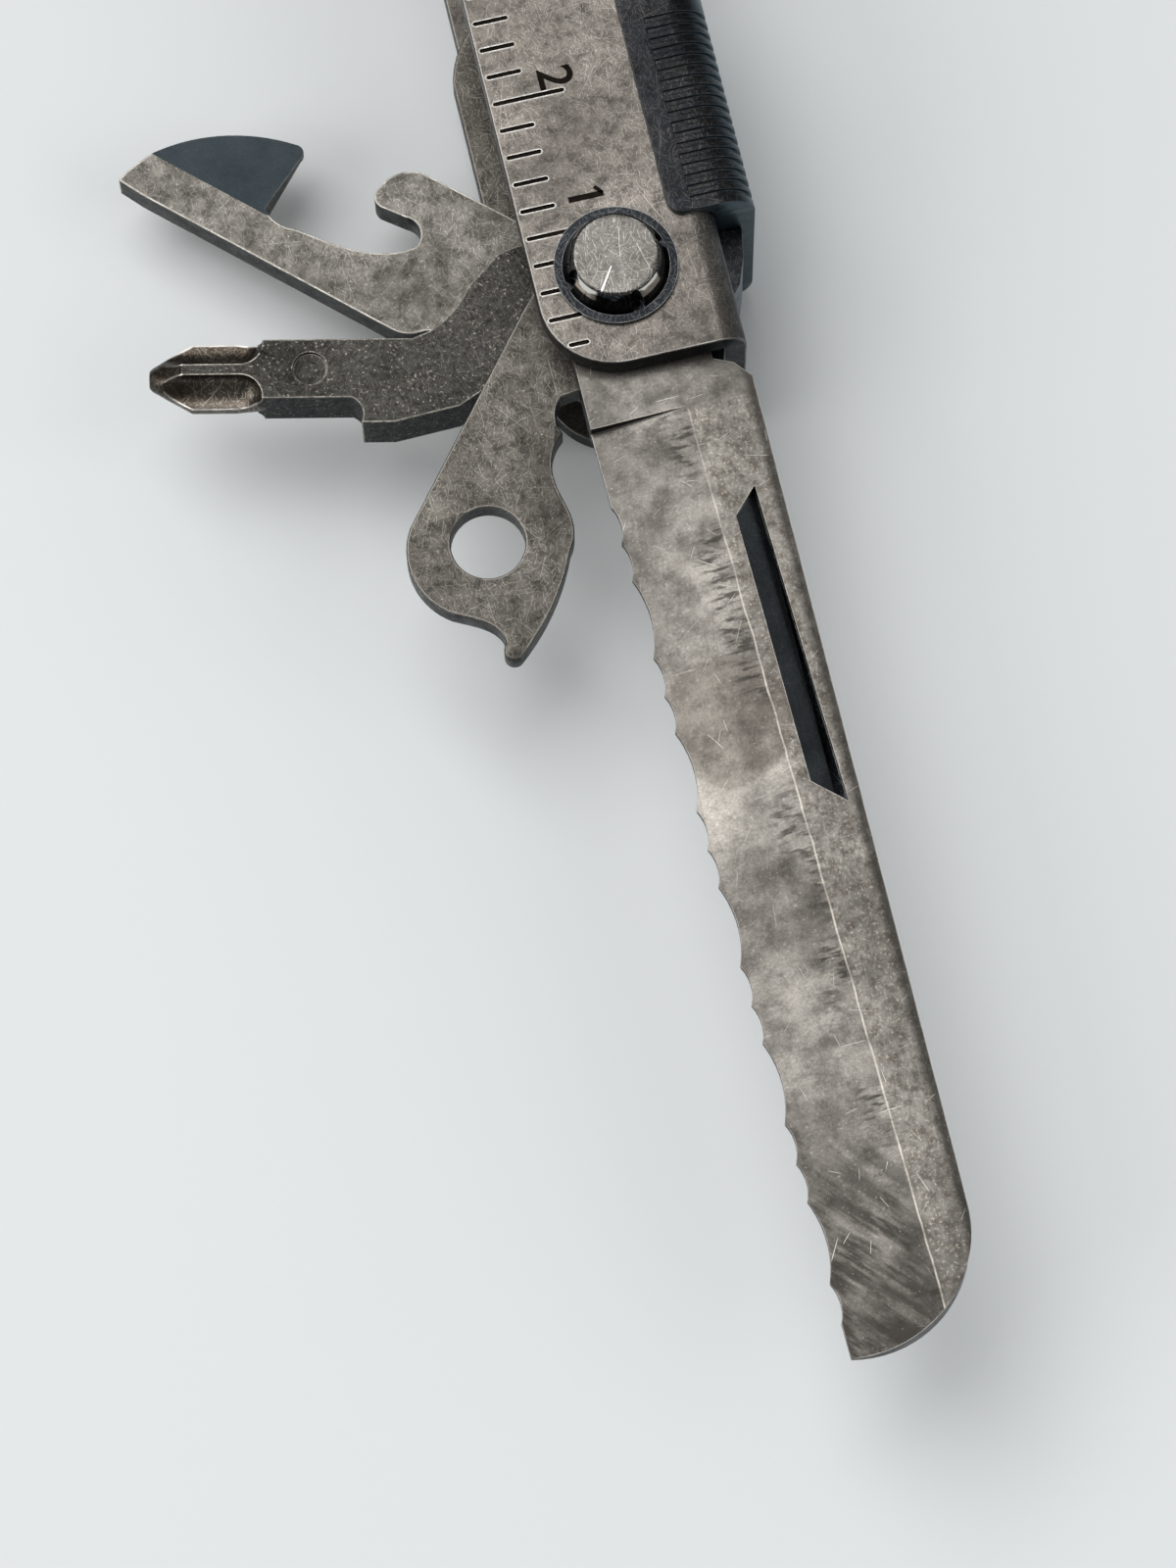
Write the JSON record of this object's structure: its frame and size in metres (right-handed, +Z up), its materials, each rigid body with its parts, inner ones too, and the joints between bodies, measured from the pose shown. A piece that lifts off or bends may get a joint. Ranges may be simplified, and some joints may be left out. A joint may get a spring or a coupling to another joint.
{
  "type": "folding multi-tool",
  "caption": "Pliers-type folding pocket multi-tool with two channel handles, knives, can opener, Phillips and flat drivers, lanyard hook and file.",
  "frame": {"origin": "under the middle of the whole tool, on the surface that it lies on", "axes": "+Z up out of the ruler face, +Y along the right handle towards the pliers"},
  "size_m": [0.1574, 0.2392, 0.0199],
  "materials": {
    "handle_steel": "satin",
    "tool_steel": "satin",
    "cast_steel": "satin",
    "black_slider": "satin",
    "fastener_steel": "satin",
    "spring_steel": "satin"
  },
  "bodies": {
    "right_frame": {"right_handle": "handle_steel", "right_tool_axle": "fastener_steel", "right_axle_nut": "fastener_steel", "right_tool_washers": "spring_steel", "right_jaw": "cast_steel", "right_head_carriage": "cast_steel", "right_carriage_pins": "fastener_steel", "right_release_spring": "spring_steel", "plier_pivot": "fastener_steel"},
    "serrated_knife": {"serrated_knife": "tool_steel"},
    "lanyard_hook": {"lanyard_hook": "tool_steel"},
    "phillips_driver": {"phillips_driver": "cast_steel"},
    "can_opener": {"can_opener": "tool_steel"},
    "medium_flat_driver": {"medium_flat_driver": "tool_steel"},
    "right_lock": {"right_lock_slider": "black_slider", "right_lock_plate": "black_slider", "right_lock_spring": "spring_steel"},
    "right_button": {"right_release_button": "black_slider"},
    "left_frame": {"left_handle": "handle_steel", "left_tool_axle": "fastener_steel", "left_axle_nut": "fastener_steel", "left_tool_washers": "spring_steel", "left_jaw": "cast_steel", "left_head_carriage": "cast_steel", "left_carriage_pins": "fastener_steel", "left_release_spring": "spring_steel", "tool_spacer": "spring_steel"},
    "plain_knife": {"plain_knife": "tool_steel"},
    "wood_metal_file": {"wood_metal_file": "tool_steel"},
    "large_flat_driver": {"large_flat_driver": "tool_steel"},
    "small_flat_driver": {"small_flat_driver": "tool_steel"},
    "left_lock": {"left_lock_slider": "black_slider", "left_lock_plate": "black_slider", "left_lock_spring": "spring_steel"},
    "left_button": {"left_release_button": "black_slider"}
  },
  "joints": [
    {"name": "serrated_knife_hinge", "type": "hinge", "parent": "right_frame", "child": "serrated_knife", "pos_m": [0.04648, -0.04438, 0.0091], "axis": [0, 0, 1], "range_deg": [-180, 0]},
    {"name": "lanyard_hook_hinge", "type": "hinge", "parent": "right_frame", "child": "lanyard_hook", "pos_m": [0.04648, -0.04438, 0.0091], "axis": [0, 0, 1], "range_deg": [-142, 38]},
    {"name": "phillips_driver_hinge", "type": "hinge", "parent": "right_frame", "child": "phillips_driver", "pos_m": [0.04648, -0.04438, 0.0091], "axis": [0, 0, 1], "range_deg": [-77.2, 102.8]},
    {"name": "can_opener_hinge", "type": "hinge", "parent": "right_frame", "child": "can_opener", "pos_m": [0.04648, -0.04438, 0.0091], "axis": [0, 0, 1], "range_deg": [-46.8, 133.2]},
    {"name": "medium_flat_driver_hinge", "type": "hinge", "parent": "right_frame", "child": "medium_flat_driver", "pos_m": [0.04648, -0.04438, 0.0091], "axis": [0, 0, 1], "range_deg": [0, 180]},
    {"name": "plier_hinge", "type": "hinge", "parent": "right_frame", "child": "left_frame", "pos_m": [0.03753, 0.07362, 0.0091], "axis": [0, 0, 1], "range_deg": [0, 42]},
    {"name": "plain_knife_hinge", "type": "hinge", "parent": "left_frame", "child": "plain_knife", "pos_m": [-0.06914, 0.02237, 0.0091], "axis": [0, 0, -1], "range_deg": [0, 180]},
    {"name": "wood_metal_file_hinge", "type": "hinge", "parent": "left_frame", "child": "wood_metal_file", "pos_m": [-0.06914, 0.02237, 0.0091], "axis": [0, 0, -1], "range_deg": [0, 180]},
    {"name": "large_flat_driver_hinge", "type": "hinge", "parent": "left_frame", "child": "large_flat_driver", "pos_m": [-0.06914, 0.02237, 0.0091], "axis": [0, 0, -1], "range_deg": [0, 180]},
    {"name": "small_flat_driver_hinge", "type": "hinge", "parent": "left_frame", "child": "small_flat_driver", "pos_m": [-0.06914, 0.02237, 0.0091], "axis": [0, 0, -1], "range_deg": [0, 180]},
    {"name": "right_lock_slide", "type": "slide", "parent": "right_frame", "child": "right_lock", "axis": [0, 1, 0], "range_m": [0, 0.0035], "stiffness_N_per_m": 150, "springref_m": -0.001},
    {"name": "left_lock_slide", "type": "slide", "parent": "left_frame", "child": "left_lock", "axis": [0.866, 0.5, 0], "range_m": [0, 0.0035], "stiffness_N_per_m": 150, "springref_m": -0.001},
    {"name": "right_button_press", "type": "slide", "parent": "right_frame", "child": "right_button", "axis": [-1, 0, 0], "range_m": [0, 0.0006], "stiffness_N_per_m": 400, "springref_m": -0.0002},
    {"name": "left_button_press", "type": "slide", "parent": "left_frame", "child": "left_button", "axis": [0.5, -0.866, 0], "range_m": [0, 0.0006], "stiffness_N_per_m": 400, "springref_m": -0.0002}
  ]
}
